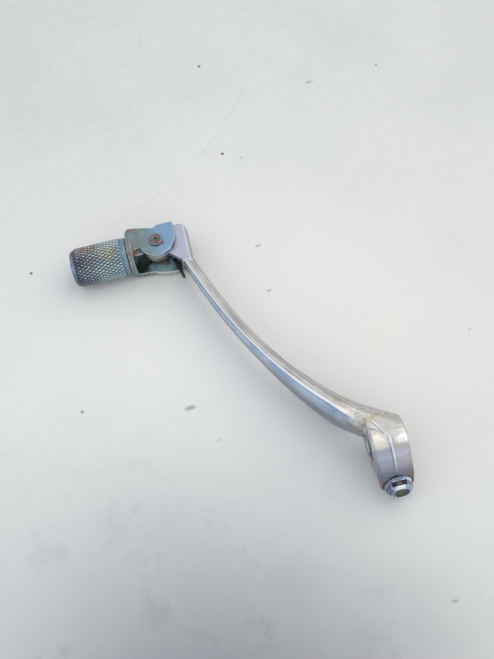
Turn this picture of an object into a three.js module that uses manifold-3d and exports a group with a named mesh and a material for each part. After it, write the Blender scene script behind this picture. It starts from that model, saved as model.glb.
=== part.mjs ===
// Gear shift lever with a folding toe piece, for a motorcycle's splined shift shaft.
//
// Millimetres. The origin is on the shift shaft's axis, at the hub's inboard face.
// +Y points forward, from the hub to the toe piece, -X outboard, +Z up.

import * as THREE from "three";
import { ConvexGeometry } from "three/addons/geometries/ConvexGeometry.js";
import { mergeVertices } from "three/addons/utils/BufferGeometryUtils.js";
import Module from "manifold-3d";

const wasm = await Module();
wasm.setup();

// ---------------------------------------------------------------- driving dimensions

const GAP = 0.3; // air between neighbouring pieces
const OVERRUN = 1; // how far a cutting tool runs past the face it leaves

const HUB = {
  width: 15.4,
  barrelRadius: 11.2,
  frontY: 10.5,
  jawWidth: 14.2,
  jawTopZ: -3.5,
  jawRearY: -14.2,
  bottomZ: -13.9,
  clampTilt: -9, // degrees about the shaft, which lift the bolt's head
  edge: 1.1,
};
const SPLINE = { teeth: 24, tipRadius: 5.7, rootRadius: 6.3 };
const SLIT_WIDTH = 2.2;
const STEP_INSET = 0.05; // how far the lowered side also draws in

const BOLT = {
  x: -HUB.jawWidth / 2,
  z: -9.6,
  seatY: -13.2, // floor of the spot face in the rear jaw
  spotFaceRadius: 6.4,
  radius: 3,
  flangeRadius: 6,
  flangeHeight: 1.3,
  acrossFlats: 10,
  headHeight: 5,
  chamfer: 1.4,
  dishRadius: 3.6,
  dishDepth: 1,
  reachY: 9.6,
};

const PIVOT = new THREE.Vector2(-83.3, 121.6);

const BRACKET = {
  sheet: 2.4,
  topZ: 2,
  bottomZ: -14.2,
  inboardX: PIVOT.x + 9.3,
  webX: PIVOT.x - 11.7, // inner face of the web, the back of the U
  bendRadius: 2.8,
  webRadius: 9.4,
};
const EAR_UNDERSIDE_Z = BRACKET.topZ - BRACKET.sheet;
const LOWER_EAR_TOP_Z = BRACKET.bottomZ + BRACKET.sheet;
const WEB_OUTER_X = BRACKET.webX - BRACKET.sheet;

const PEG = {
  radius: 9.2,
  centreZ: -6.2,
  length: 26.8,
  shoulder: 2.2,
  endRound: 2.2,
  knurlDepth: 0.42,
  knurlRings: 21,
  knurlTeeth: 44,
  spigotRadius: 4,
};

const PIN = { radius: 2.3, headRadius: 3.4, headHeight: 0.8, footHeight: 0.9 };
const BUSH = { innerRadius: PIN.radius + GAP, outerRadius: 4.2 };

const TONGUE_RADIUS = 8;
const TONGUE_BOTTOM_Z = -4.2;
const HEAD_BOTTOM_Z = LOWER_EAR_TOP_Z + GAP + 0.2;
const HEAD_TOP_Z = EAR_UNDERSIDE_Z - GAP;
const HEAD_INBOARD_X = PIVOT.x + 14;
const HEAD_FRONT_Y = PIVOT.y + 7.6;
const HEAD_CORNER = 1.4;

const SPRING = {
  wireRadius: 0.7,
  coilRadius: 5.5,
  topZ: -7.3,
  bottomZ: -10.7,
  leverLegAngle: 0.2, // where on the coil the leg along the lever leaves it
  webLegAngle: Math.PI / 2,
  fullTurns: 2,
  leverLeg: 17.5,
  webLeg: 10,
};

// The lever's centre line in plan, from inside the hub to the head.
const ARM_PATH = new THREE.CubicBezierCurve(
  new THREE.Vector2(-8, 5),
  new THREE.Vector2(-38, 33),
  new THREE.Vector2(-54.4, 60),
  new THREE.Vector2(-70.5, 109),
);
// Half width, half height and centre height of its section at equal steps along it.
const ARM_SIZES = new THREE.CatmullRomCurve3([
  new THREE.Vector3(6.8, 3.6, 5.9),
  new THREE.Vector3(3.9, 11.5, -3.1),
  new THREE.Vector3(3.1, 9.4, -3.6),
  new THREE.Vector3(2.7, 6.7, -3.6),
  new THREE.Vector3(2.6, 5.5, -4.9),
  new THREE.Vector3(2.5, 5.1, -6.0),
]);
// The section's corners as shares of half width (inboard positive) and half height: a top
// flat, a wide bevel on the inboard edge, and sides that draw in towards the bottom. The
// outboard edge is a bullnose.
const ARM_BULLNOSE = { across: -0.58, up: 0.66, halfWidth: 0.42, halfHeight: 0.34, steps: 6 };
const ARM_SECTION = [
  [-1, 0.3],
  [-0.94, -0.5],
  [-0.84, -0.8],
  [-0.62, -0.95],
  [-0.3, -1],
  [0.3, -1],
  [0.62, -0.93],
  [0.86, -0.76],
  [0.97, -0.5],
  [1, -0.1],
  [1, 0.62],
  [0.96, 0.74],
  [0.88, 0.81],
  [0.2, 0.99],
  [0.06, 1],
];
const ARM_STATIONS = 90;
const ARM_ROOT_END = 0.11; // share of the arm's length where it stands clear of the hub
const ARM_ROOT_LEAN = 2.6; // how far its inboard edge drops at the root

// ---------------------------------------------------------------- finishes

const polishedAluminium = { color: 0xc9ccd0, roughness: 0.3, metalness: 1 };
const zincSteel = { color: 0x8fa3ab, roughness: 0.4, metalness: 1 };
const knurledSteel = { color: 0x8b9290, roughness: 0.5, metalness: 1 };
const boltSteel = { color: 0xb9bfca, roughness: 0.22, metalness: 1 };
const rivetSteel = { color: 0x7d7c82, roughness: 0.45, metalness: 1 };
const springSteel = { color: 0x6d7066, roughness: 0.5, metalness: 1 };

// ---------------------------------------------------------------- solid helpers

function toSolid(geometry) {
  const bare = geometry.clone();
  bare.deleteAttribute("normal");
  bare.deleteAttribute("uv");
  const welded = mergeVertices(bare, 1e-4);
  const mesh = new wasm.Mesh({
    numProp: 3,
    vertProperties: new Float32Array(welded.attributes.position.array),
    triVerts: new Uint32Array(welded.index.array),
  });
  return new wasm.Manifold(mesh);
}

function toGeometry(solid) {
  const mesh = solid.getMesh();
  const geometry = new THREE.BufferGeometry();
  geometry.setAttribute("position", new THREE.BufferAttribute(mesh.vertProperties, mesh.numProp));
  geometry.setIndex(new THREE.BufferAttribute(mesh.triVerts, 1));
  const flat = geometry.toNonIndexed();
  flat.computeVertexNormals();
  return flat;
}

function unite(...solids) {
  return solids.reduce((sum, solid) => sum.add(solid));
}

function cut(solid, ...tools) {
  return tools.reduce((rest, tool) => rest.subtract(tool), solid);
}

// The largest body of a solid, without the slivers that cuts leave behind.
function mainBody(solid) {
  const bodies = solid.decompose();
  return bodies.reduce((most, piece) => (piece.volume() > most.volume() ? piece : most));
}

// A plan outline raised from z0 to z1.
function plate(shape, z0, z1) {
  const geometry = new THREE.ExtrudeGeometry(shape, {
    depth: z1 - z0,
    bevelEnabled: false,
    curveSegments: 20,
  });
  return toSolid(geometry.translate(0, 0, z0));
}

// A side outline, drawn in Y and Z, carried from x0 to x1 with its rims bevelled.
function sidePlate(shape, x0, x1, bevel = 0) {
  const geometry = new THREE.ExtrudeGeometry(shape, {
    depth: x1 - x0 - 2 * bevel,
    bevelEnabled: bevel > 0,
    bevelThickness: bevel,
    bevelSize: bevel,
    bevelOffset: -bevel,
    bevelSegments: 3,
    curveSegments: 18,
  });
  const toYZ = new THREE.Matrix4().makeBasis(
    new THREE.Vector3(0, 1, 0),
    new THREE.Vector3(0, 0, 1),
    new THREE.Vector3(1, 0, 0),
  );
  return toSolid(geometry.applyMatrix4(toYZ).translate(x0 + bevel, 0, 0));
}

// An outline drawn in X and Z about a centre, carried from y0 to y1.
function endPlate(shape, centre, y0, y1) {
  const geometry = new THREE.ExtrudeGeometry(shape, { depth: y1 - y0, bevelEnabled: false });
  const toXZ = new THREE.Matrix4().makeBasis(
    new THREE.Vector3(-1, 0, 0),
    new THREE.Vector3(0, 0, 1),
    new THREE.Vector3(0, 1, 0),
  );
  return toSolid(geometry.applyMatrix4(toXZ).translate(centre.x, y0, centre.z));
}

// A rod between two points; a second radius makes it a cone.
function rod(from, to, radius, endRadius = radius, sides = 40) {
  const axis = new THREE.Vector3().subVectors(to, from);
  const geometry = new THREE.CylinderGeometry(endRadius, radius, axis.length(), sides);
  const turn = new THREE.Quaternion().setFromUnitVectors(
    new THREE.Vector3(0, 1, 0),
    axis.clone().normalize(),
  );
  geometry.applyQuaternion(turn);
  const middle = new THREE.Vector3().addVectors(from, to).multiplyScalar(0.5);
  return toSolid(geometry.translate(middle.x, middle.y, middle.z));
}

function rodZ(centre, z0, z1, radius, endRadius = radius, sides = 40) {
  const low = new THREE.Vector3(centre.x, centre.y, z0);
  const high = new THREE.Vector3(centre.x, centre.y, z1);
  return rod(low, high, radius, endRadius, sides);
}

// A closed skin over rings of equal length, each end closed by a fan about its middle.
// The rings may run either way round.
function loft(rings) {
  const count = rings[0].length;
  const points = rings.flat();
  const faces = [];
  for (let i = 0; i + 1 < rings.length; i++) {
    for (let j = 0; j < count; j++) {
      const a = i * count + j;
      const b = i * count + ((j + 1) % count);
      faces.push(a, b, b + count, a, b + count, a + count);
    }
  }
  for (const end of [0, rings.length - 1]) {
    const middle = new THREE.Vector3();
    rings[end].forEach((point) => middle.addScaledVector(point, 1 / count));
    const hub = points.push(middle) - 1;
    for (let j = 0; j < count; j++) {
      const a = end * count + j;
      const b = end * count + ((j + 1) % count);
      faces.push(...(end === 0 ? [hub, b, a] : [hub, a, b]));
    }
  }
  const geometry = new THREE.BufferGeometry().setFromPoints(points);
  const solid = toSolid(geometry.setIndex(faces));
  return solid.volume() > 0 ? solid : toSolid(geometry.setIndex(faces.toReversed()));
}

function node(name, solid, finish) {
  const mesh = new THREE.Mesh(toGeometry(solid), new THREE.MeshStandardMaterial(finish));
  mesh.name = name;
  return mesh;
}

// ---------------------------------------------------------------- lever arm

// The hub's barrel from the side, with the block ahead of it that the arm grows from.
function barrelOutline() {
  const { barrelRadius, frontY } = HUB;
  const frontTop = Math.sqrt(barrelRadius ** 2 - frontY ** 2);
  const shape = new THREE.Shape();
  shape.moveTo(0, -barrelRadius);
  shape.lineTo(frontY - 2, -barrelRadius);
  shape.lineTo(frontY, 2 - barrelRadius);
  shape.lineTo(frontY, frontTop);
  shape.absarc(0, 0, barrelRadius, Math.atan2(frontTop, frontY), Math.PI * 1.5, false);
  return shape;
}

// The clamp jaws from the side, before the slit parts them. Behind, a straight slope runs
// down from the barrel to their rear face.
function jawOutline() {
  const { barrelRadius, frontY, jawRearY, jawTopZ, bottomZ } = HUB;
  const corner = 2.5;
  const rearTop = new THREE.Vector2(jawRearY, jawTopZ);
  const slopeStart = rearTop.angle() - Math.acos(barrelRadius / rearTop.length());
  const shape = new THREE.Shape();
  shape.moveTo(jawRearY + corner, bottomZ);
  shape.lineTo(frontY - corner, bottomZ);
  shape.quadraticCurveTo(frontY, bottomZ, frontY, bottomZ + corner);
  shape.lineTo(frontY, jawTopZ);
  shape.lineTo(barrelRadius * Math.cos(slopeStart), barrelRadius * Math.sin(slopeStart));
  shape.lineTo(jawRearY, jawTopZ);
  shape.lineTo(jawRearY, bottomZ + corner);
  shape.quadraticCurveTo(jawRearY, bottomZ, jawRearY + corner, bottomZ);
  return shape;
}

// The hub's outboard side is lower than its inboard side. The seam between them leaves the
// arm's outboard edge, then bends to run round the barrel; two small steps make it a bevel.
function lowerOutboardSide(body) {
  const seam = [
    [-20, 13.7],
    [-10.6, 5.7],
    [-7, -0.8],
    [-6.4, -16],
  ];
  const outerX = seam[0][0] - 2 * OVERRUN;
  const steps = [
    { depth: 0.4, back: 0.3 },
    { depth: 0.4, back: 0.8 },
  ];
  return steps.reduce((rest, { depth, back }) => {
    const plan = new THREE.Shape();
    plan.moveTo(outerX, -16);
    seam.toReversed().forEach(([x, y]) => plan.lineTo(x - back, y - back));
    plan.lineTo(outerX, seam[0][1] - back);
    const side = plate(plan, -2, HUB.barrelRadius + OVERRUN);
    const lowered = rest.translate([STEP_INSET, -STEP_INSET, -depth]);
    return cut(rest, cut(side, lowered));
  }, body);
}

// Fills the corner between the arm's root and the barrel, so that the top runs on smoothly.
function rootFillet() {
  const points = armSection(ARM_ROOT_END).filter((point) => point.z > 0);
  for (const x of [-HUB.edge, -HUB.width / 2]) {
    for (let i = 0; i <= 6; i++) {
      const angle = THREE.MathUtils.lerp(0.45, 1.5, i / 6);
      points.push(
        new THREE.Vector3(
          x,
          HUB.barrelRadius * Math.cos(angle),
          HUB.barrelRadius * Math.sin(angle),
        ),
      );
    }
  }
  return toSolid(new ConvexGeometry(points));
}

function tilted(clampPiece) {
  return clampPiece.rotate([HUB.clampTilt, 0, 0]);
}

function splinedBore() {
  const pitch = (2 * Math.PI) / SPLINE.teeth;
  const corners = [
    { radius: SPLINE.tipRadius, share: -0.25 },
    { radius: SPLINE.rootRadius, share: -0.12 },
    { radius: SPLINE.rootRadius, share: 0.12 },
    { radius: SPLINE.tipRadius, share: 0.25 },
  ];
  const points = [];
  for (let tooth = 0; tooth < SPLINE.teeth; tooth++) {
    for (const { radius, share } of corners) {
      const angle = (tooth + share) * pitch;
      points.push(new THREE.Vector2(radius * Math.cos(angle), radius * Math.sin(angle)));
    }
  }
  return sidePlate(new THREE.Shape(points), -HUB.width - OVERRUN, OVERRUN);
}

function bullnose() {
  const { across, up, halfWidth, halfHeight, steps } = ARM_BULLNOSE;
  const points = [];
  for (let i = 0; i <= steps; i++) {
    const angle = (i / steps) * (Math.PI / 2);
    points.push([across - halfWidth * Math.sin(angle), up + halfHeight * Math.cos(angle)]);
  }
  return points;
}

function armSection(t) {
  const centre = ARM_PATH.getPoint(t);
  const heading = ARM_PATH.getTangent(t);
  const [halfWidth, halfHeight, centreZ] = ARM_SIZES.getPoint(t).toArray();
  const lean = ARM_ROOT_LEAN * Math.max(0, 1 - t / (2 * ARM_ROOT_END)) ** 2;
  return [...bullnose(), ...ARM_SECTION].map(([across, up]) => {
    const side = across * halfWidth;
    return new THREE.Vector3(
      centre.x + heading.y * side,
      centre.y - heading.x * side,
      centreZ + up * halfHeight - (lean * (across + 1)) / 2,
    );
  });
}

// The head in plan: a tongue that is round behind the pivot and square ahead of it, where
// its end face meets the bracket's web.
function tongueOutline() {
  const stopX = BRACKET.webX + GAP;
  const shape = new THREE.Shape();
  shape.moveTo(HEAD_INBOARD_X, HEAD_FRONT_Y - HEAD_CORNER);
  shape.lineTo(HEAD_INBOARD_X - HEAD_CORNER, HEAD_FRONT_Y);
  shape.lineTo(stopX, HEAD_FRONT_Y);
  shape.lineTo(stopX, PIVOT.y + 2.4);
  shape.lineTo(PIVOT.x - TONGUE_RADIUS, PIVOT.y);
  shape.absarc(PIVOT.x, PIVOT.y, TONGUE_RADIUS, Math.PI, Math.PI * 1.7, false);
  shape.lineTo(PIVOT.x + 10.2, PIVOT.y - 11.5);
  shape.lineTo(HEAD_INBOARD_X, PIVOT.y - 10.4);
  return shape;
}

// The head's full-height cheek, beside the bracket. Its inboard side is fullest below
// the middle, as it came out of the forging die.
function headCheek() {
  const ring = (z, fullness) =>
    [
      [HEAD_INBOARD_X + fullness, PIVOT.y - 12.5],
      [HEAD_INBOARD_X + fullness, HEAD_FRONT_Y - HEAD_CORNER],
      [HEAD_INBOARD_X - HEAD_CORNER + fullness, HEAD_FRONT_Y],
      [PIVOT.x + 9.8, HEAD_FRONT_Y],
      [PIVOT.x + 9.8, PIVOT.y - 12.5],
    ].map(([x, y]) => new THREE.Vector3(x, y, z));
  return loft([ring(HEAD_BOTTOM_Z, 0.5), ring(-8, 1.1), ring(-4, 1), ring(HEAD_TOP_Z, 0)]);
}

function leverArm() {
  const barrel = sidePlate(barrelOutline(), -HUB.width, 0, HUB.edge);
  const jaws = tilted(sidePlate(jawOutline(), -HUB.jawWidth, 0, HUB.edge));
  const rings = [];
  for (let i = 0; i <= ARM_STATIONS; i++) {
    rings.push(armSection(i / ARM_STATIONS));
  }
  const body = unite(
    lowerOutboardSide(unite(barrel, rootFillet(), loft(rings), jaws)),
    plate(tongueOutline(), TONGUE_BOTTOM_Z, HEAD_TOP_Z),
    headCheek(),
  );
  const onBoltAxis = (y) => new THREE.Vector3(BOLT.x, y, BOLT.z);
  const beyondJaw = onBoltAxis(HUB.jawRearY - OVERRUN);
  const boltHole = unite(
    rod(beyondJaw, onBoltAxis(HUB.frontY + OVERRUN), BOLT.radius + GAP),
    rod(beyondJaw, onBoltAxis(BOLT.seatY), BOLT.spotFaceRadius, BOLT.spotFaceRadius, 48),
  );
  const slit = new THREE.Shape();
  slit.moveTo(-SLIT_WIDTH / 2, 0);
  slit.lineTo(-SLIT_WIDTH / 2, HUB.bottomZ - OVERRUN);
  slit.lineTo(SLIT_WIDTH / 2, HUB.bottomZ - OVERRUN);
  slit.lineTo(SLIT_WIDTH / 2, 0);
  const finished = cut(
    body,
    splinedBore(),
    tilted(boltHole),
    tilted(sidePlate(slit, -HUB.width - OVERRUN, OVERRUN)),
    rodZ(PIVOT, BRACKET.bottomZ, BRACKET.topZ, BUSH.outerRadius + GAP),
  );
  return mainBody(finished);
}

// ---------------------------------------------------------------- clamp bolt

function clampBolt() {
  const at = (y) => new THREE.Vector3(BOLT.x, y, BOLT.z);
  const seat = BOLT.seatY - GAP;
  const flangeTop = seat - BOLT.flangeHeight;
  const headTop = seat - BOLT.headHeight;
  const cornerRadius = BOLT.acrossFlats / Math.sqrt(3);
  const rim = cornerRadius - BOLT.chamfer;
  const hexagon = new THREE.Shape();
  for (let corner = 0; corner < 6; corner++) {
    const angle = (corner * Math.PI) / 3;
    hexagon.lineTo(cornerRadius * Math.cos(angle), cornerRadius * Math.sin(angle));
  }
  const hex = endPlate(hexagon, at(0), headTop, flangeTop + 0.2);
  const chamfer = rod(at(seat), at(headTop), rim + BOLT.headHeight, rim, 48);
  const bolt = cut(
    unite(
      rod(at(BOLT.reachY), at(seat - 0.5), BOLT.radius, BOLT.radius, 32),
      rod(at(seat), at(seat - 0.5), BOLT.flangeRadius, BOLT.flangeRadius, 48),
      rod(at(seat - 0.5), at(flangeTop), BOLT.flangeRadius, BOLT.flangeRadius - 0.6, 48),
      hex.intersect(chamfer),
    ),
    rod(at(headTop + BOLT.dishDepth), at(headTop), BOLT.dishRadius - 1, BOLT.dishRadius, 40),
  );
  return tilted(bolt);
}

// ---------------------------------------------------------------- folding toe piece

// The bracket from behind: a U lying on its side, open towards the lever.
function bracketProfile() {
  const { sheet, topZ, bottomZ, inboardX, webX, bendRadius } = BRACKET;
  const outerX = webX - sheet;
  const inner = bendRadius - sheet;
  const shape = new THREE.Shape();
  shape.moveTo(inboardX, topZ);
  shape.lineTo(outerX + bendRadius, topZ);
  shape.absarc(outerX + bendRadius, topZ - bendRadius, bendRadius, Math.PI / 2, Math.PI, false);
  shape.lineTo(outerX, bottomZ + bendRadius);
  shape.absarc(outerX + bendRadius, bottomZ + bendRadius, bendRadius, Math.PI, Math.PI * 1.5, false);
  shape.lineTo(inboardX, bottomZ);
  shape.lineTo(inboardX, bottomZ + sheet);
  shape.lineTo(webX + inner, bottomZ + sheet);
  shape.absarc(webX + inner, bottomZ + bendRadius, inner, Math.PI * 1.5, Math.PI, true);
  shape.lineTo(webX, topZ - bendRadius);
  shape.absarc(webX + inner, topZ - bendRadius, inner, Math.PI, Math.PI / 2, true);
  shape.lineTo(inboardX, topZ - sheet);
  return shape;
}

// An ear in plan, from its inboard edge round the front to the web, which is common to
// both ears: a square front corner and a small step in the front edge.
function earFront() {
  const { x, y } = PIVOT;
  const shape = new THREE.Shape();
  shape.moveTo(BRACKET.inboardX, y + 1.4);
  shape.lineTo(BRACKET.inboardX + 0.4, y + 8);
  shape.lineTo(x + 1.4, y + 8);
  shape.lineTo(x, y + 6.8);
  shape.lineTo(x - 8.6, y + 9);
  shape.lineTo(x - 11.8, y + 9.4);
  shape.quadraticCurveTo(WEB_OUTER_X, y + 9.2, WEB_OUTER_X - OVERRUN, y + 6.4);
  return shape;
}

// The upper ear is round behind the pivot, with a notch beside the web.
function upperEar() {
  const { x, y } = PIVOT;
  const shape = earFront();
  shape.lineTo(WEB_OUTER_X - OVERRUN, y - 4.6);
  shape.lineTo(x - 12.2, y - 4.4);
  shape.quadraticCurveTo(x - 9.8, y - 1.4, x - 7.7, y - 2.4);
  shape.absarc(x, y, 8.2, Math.PI * 1.12, Math.PI * 1.78, false);
  shape.quadraticCurveTo(BRACKET.inboardX - 0.3, y - 2.6, BRACKET.inboardX, y + 1.4);
  return plate(shape, EAR_UNDERSIDE_Z, BRACKET.topZ);
}

// The lower ear is larger, with a square rear corner.
function lowerEar() {
  const { x, y } = PIVOT;
  const shape = earFront();
  shape.lineTo(WEB_OUTER_X - OVERRUN, y - 7.8);
  shape.lineTo(x - 4.2, y - 8.4);
  shape.quadraticCurveTo(x - 1.6, y - 9.6, x + 1.2, y - 10.2);
  shape.lineTo(x + 8, y - 11);
  shape.quadraticCurveTo(x + 9.2, y - 10.6, x + 9.2, y - 8.6);
  shape.lineTo(BRACKET.inboardX, y + 1.4);
  return plate(shape, BRACKET.bottomZ, LOWER_EAR_TOP_Z);
}

function tipBracket() {
  const acrossY = new THREE.Matrix4().makeBasis(
    new THREE.Vector3(1, 0, 0),
    new THREE.Vector3(0, 0, 1),
    new THREE.Vector3(0, -1, 0),
  );
  const halfDepth = 12;
  const profile = new THREE.ExtrudeGeometry(bracketProfile(), {
    depth: 2 * halfDepth,
    bevelEnabled: false,
    curveSegments: 8,
  });
  profile.applyMatrix4(acrossY).translate(0, PIVOT.y + halfDepth, 0);
  const middle = new THREE.Shape([
    new THREE.Vector2(WEB_OUTER_X - OVERRUN, PIVOT.y + 6.4),
    new THREE.Vector2(WEB_OUTER_X - OVERRUN, PIVOT.y - 4.6),
    new THREE.Vector2(PIVOT.x, PIVOT.y - 4.6),
    new THREE.Vector2(PIVOT.x, PIVOT.y + 6.4),
  ]);
  const blank = unite(
    upperEar(),
    lowerEar(),
    plate(middle, LOWER_EAR_TOP_Z - GAP, EAR_UNDERSIDE_Z + GAP),
  );
  const ears = toSolid(profile).intersect(blank);
  const centre = (x) => new THREE.Vector3(x, PIVOT.y, PEG.centreZ);
  const disc = rod(centre(BRACKET.webX), centre(WEB_OUTER_X), BRACKET.webRadius, BRACKET.webRadius, 64);
  const spigotHole = rod(
    centre(BRACKET.webX + OVERRUN),
    centre(WEB_OUTER_X - OVERRUN),
    PEG.spigotRadius + GAP,
  );
  return cut(
    unite(ears, disc),
    spigotHole,
    rodZ(PIVOT, BRACKET.bottomZ - OVERRUN, BRACKET.topZ + OVERRUN, PIN.radius + GAP),
  );
}

// A turned peg with a diamond knurl between a plain shoulder and a rounded end.
function toePeg() {
  const startX = WEB_OUTER_X - GAP;
  const endX = startX - PEG.length;
  const knurlStart = startX - PEG.shoulder;
  const knurlEnd = endX + PEG.endRound;
  const plain = PEG.radius - PEG.knurlDepth;
  const ring = (x, radiusAt) => {
    const points = [];
    for (let j = 0; j < PEG.knurlTeeth; j++) {
      const angle = (-j / PEG.knurlTeeth) * 2 * Math.PI;
      const radius = radiusAt(j);
      points.push(
        new THREE.Vector3(
          x,
          PIVOT.y + radius * Math.cos(angle),
          PEG.centreZ + radius * Math.sin(angle),
        ),
      );
    }
    return points;
  };
  const rings = [ring(startX, () => plain - 0.3), ring(startX - 0.3, () => plain)];
  for (let i = 0; i <= PEG.knurlRings; i++) {
    const x = THREE.MathUtils.lerp(knurlStart, knurlEnd, i / PEG.knurlRings);
    rings.push(ring(x, (j) => PEG.radius - ((i + j) % 2) * PEG.knurlDepth));
  }
  const steps = 5;
  for (let i = 1; i <= steps; i++) {
    const angle = (i / steps) * (Math.PI / 2);
    const x = knurlEnd - PEG.endRound * Math.sin(angle);
    rings.push(ring(x, () => plain - PEG.endRound * (1 - Math.cos(angle))));
  }
  const spigot = rod(
    new THREE.Vector3(startX - OVERRUN, PIVOT.y, PEG.centreZ),
    new THREE.Vector3(BRACKET.webX - 0.2, PIVOT.y, PEG.centreZ),
    PEG.spigotRadius,
  );
  return unite(loft(rings), spigot);
}

// A rivet: a domed head with a punched dimple above the bracket, peened flat below it.
function pivotPin() {
  const headZ = BRACKET.topZ + GAP;
  const footZ = BRACKET.bottomZ - GAP;
  const dimple = rodZ(PIVOT, headZ + 0.2, headZ + 2, 1.2, 2.2, 4);
  return cut(
    unite(
      rodZ(PIVOT, footZ - 0.1, headZ + 0.1, PIN.radius, PIN.radius, 32),
      rodZ(PIVOT, headZ, headZ + PIN.headHeight, PIN.headRadius, PIN.headRadius - 0.4, 40),
      rodZ(PIVOT, footZ - PIN.footHeight, footZ, PIN.headRadius - 0.5, PIN.headRadius, 40),
    ),
    dimple,
  );
}

// A spacer tube that carries the tongue and keeps the ears apart.
function pivotBush() {
  const low = LOWER_EAR_TOP_Z + GAP;
  const high = EAR_UNDERSIDE_Z - GAP;
  return cut(
    rodZ(PIVOT, low, high, BUSH.outerRadius),
    rodZ(PIVOT, low - OVERRUN, high + OVERRUN, BUSH.innerRadius, BUSH.innerRadius, 32),
  );
}

// A torsion spring round the bush. Straight legs leave the coil at a tangent: the lower one
// runs back along the lever, the upper one out to the web.
class SpringLine extends THREE.Curve {
  constructor() {
    super();
    const { leverLegAngle, webLegAngle, fullTurns, coilRadius, leverLeg, webLeg } = SPRING;
    this.sweep = webLegAngle - leverLegAngle + fullTurns * 2 * Math.PI;
    this.coilLength = this.sweep * coilRadius;
    this.total = leverLeg + this.coilLength + webLeg;
  }

  getPoint(t, target = new THREE.Vector3()) {
    const along = t * this.total - SPRING.leverLeg;
    const onCoil = THREE.MathUtils.clamp(along, 0, this.coilLength);
    const share = onCoil / this.coilLength;
    const angle = SPRING.leverLegAngle + share * this.sweep;
    const straight = along - onCoil; // negative on the lever's leg, positive on the web's
    return target.set(
      PIVOT.x + SPRING.coilRadius * Math.cos(angle) - straight * Math.sin(angle),
      PIVOT.y + SPRING.coilRadius * Math.sin(angle) + straight * Math.cos(angle),
      THREE.MathUtils.lerp(SPRING.bottomZ, SPRING.topZ, share),
    );
  }
}

function returnSpring() {
  const wire = new THREE.Shape();
  wire.absarc(0, 0, SPRING.wireRadius, 0, Math.PI * 2, false);
  const geometry = new THREE.ExtrudeGeometry(wire, {
    steps: 96,
    curveSegments: 10,
    bevelEnabled: false,
    extrudePath: new SpringLine(),
  });
  return toSolid(geometry);
}

// ---------------------------------------------------------------- the assembly

const lever = new THREE.Group();
lever.name = "lever";
lever.add(
  node("lever_arm", leverArm(), polishedAluminium),
  node("clamp_bolt", clampBolt(), boltSteel),
);

const toePiece = new THREE.Group();
toePiece.name = "toe_piece";
toePiece.add(
  node("tip_bracket", tipBracket(), zincSteel),
  node("toe_peg", toePeg(), knurledSteel),
  node("pivot_pin", pivotPin(), rivetSteel),
  node("pivot_bush", pivotBush(), rivetSteel),
  node("return_spring", returnSpring(), springSteel),
);

const gearShiftLever = new THREE.Group();
gearShiftLever.name = "gear_shift_lever";
gearShiftLever.add(lever, toePiece);

export default gearShiftLever;
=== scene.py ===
"""A gear shift lever with a folding toe piece: its looks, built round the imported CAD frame.

Lengths in this script are in millimetres, and the scene is in metres. The frame is the
CAD's: the origin is on the shift shaft's axis, +Y forward, -X outboard, +Z up.
"""

import functools
import math

import bmesh
import bpy
import numpy as np
from mathutils import Matrix, Vector


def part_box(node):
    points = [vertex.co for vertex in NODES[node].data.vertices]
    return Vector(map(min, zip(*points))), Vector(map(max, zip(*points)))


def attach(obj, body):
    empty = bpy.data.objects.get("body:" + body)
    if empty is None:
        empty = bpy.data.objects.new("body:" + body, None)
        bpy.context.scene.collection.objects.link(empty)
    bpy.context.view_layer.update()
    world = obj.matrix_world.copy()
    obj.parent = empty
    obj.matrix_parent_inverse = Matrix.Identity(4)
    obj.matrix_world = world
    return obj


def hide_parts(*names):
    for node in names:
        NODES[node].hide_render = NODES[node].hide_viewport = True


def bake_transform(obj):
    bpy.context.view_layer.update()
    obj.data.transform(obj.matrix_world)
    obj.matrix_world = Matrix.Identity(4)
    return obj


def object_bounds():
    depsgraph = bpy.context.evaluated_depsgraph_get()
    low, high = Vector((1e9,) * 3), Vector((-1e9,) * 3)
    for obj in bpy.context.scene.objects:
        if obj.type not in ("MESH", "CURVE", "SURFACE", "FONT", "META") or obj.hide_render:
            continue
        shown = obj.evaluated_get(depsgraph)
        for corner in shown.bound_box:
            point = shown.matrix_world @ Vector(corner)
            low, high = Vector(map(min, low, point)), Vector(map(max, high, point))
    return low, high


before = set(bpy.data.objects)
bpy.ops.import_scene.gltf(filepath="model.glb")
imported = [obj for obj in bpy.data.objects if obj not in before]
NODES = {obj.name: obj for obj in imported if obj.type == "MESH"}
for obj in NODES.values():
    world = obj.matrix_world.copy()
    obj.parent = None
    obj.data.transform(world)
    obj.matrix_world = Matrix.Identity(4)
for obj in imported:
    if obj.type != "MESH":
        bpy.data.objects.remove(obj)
cad_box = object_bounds()

MM = 0.001

PIVOT = Vector((-83.3, 121.6, -6.1))

# The arm's middle line in plan, a Bezier curve from the hub to the head, and the arm's half
# widths, heights and tops at equal steps along it.
ARM_PATH = np.array([(-8, 5), (-38, 33), (-54.4, 60), (-70.5, 109)], float)
ARM_HALF_WIDTHS = (6.8, 3.9, 3.1, 2.7, 2.6, 2.5)
ARM_HEIGHTS = (7.2, 23, 18.8, 13.4, 11, 10.2)
ARM_TOPS = (9.5, 8.4, 5.8, 3.1, 0.6, -0.9)
ARM_STEPS = 300

# The step across the hub's top: its upper edge runs along X = x and the middle of its wall
# along X = wall_x, and ahead of bend_y both lean outboard by slope.
SEAM = {"x": -6.8, "wall_x": -7.4, "bend_y": -0.8, "slope": 0.554}

# The clamp bolt's axis and end face, and its lean in degrees about the shaft.
BOLT = {"x": -7.1, "z": -9.6, "end": -18.5, "lean": -9}

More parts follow.
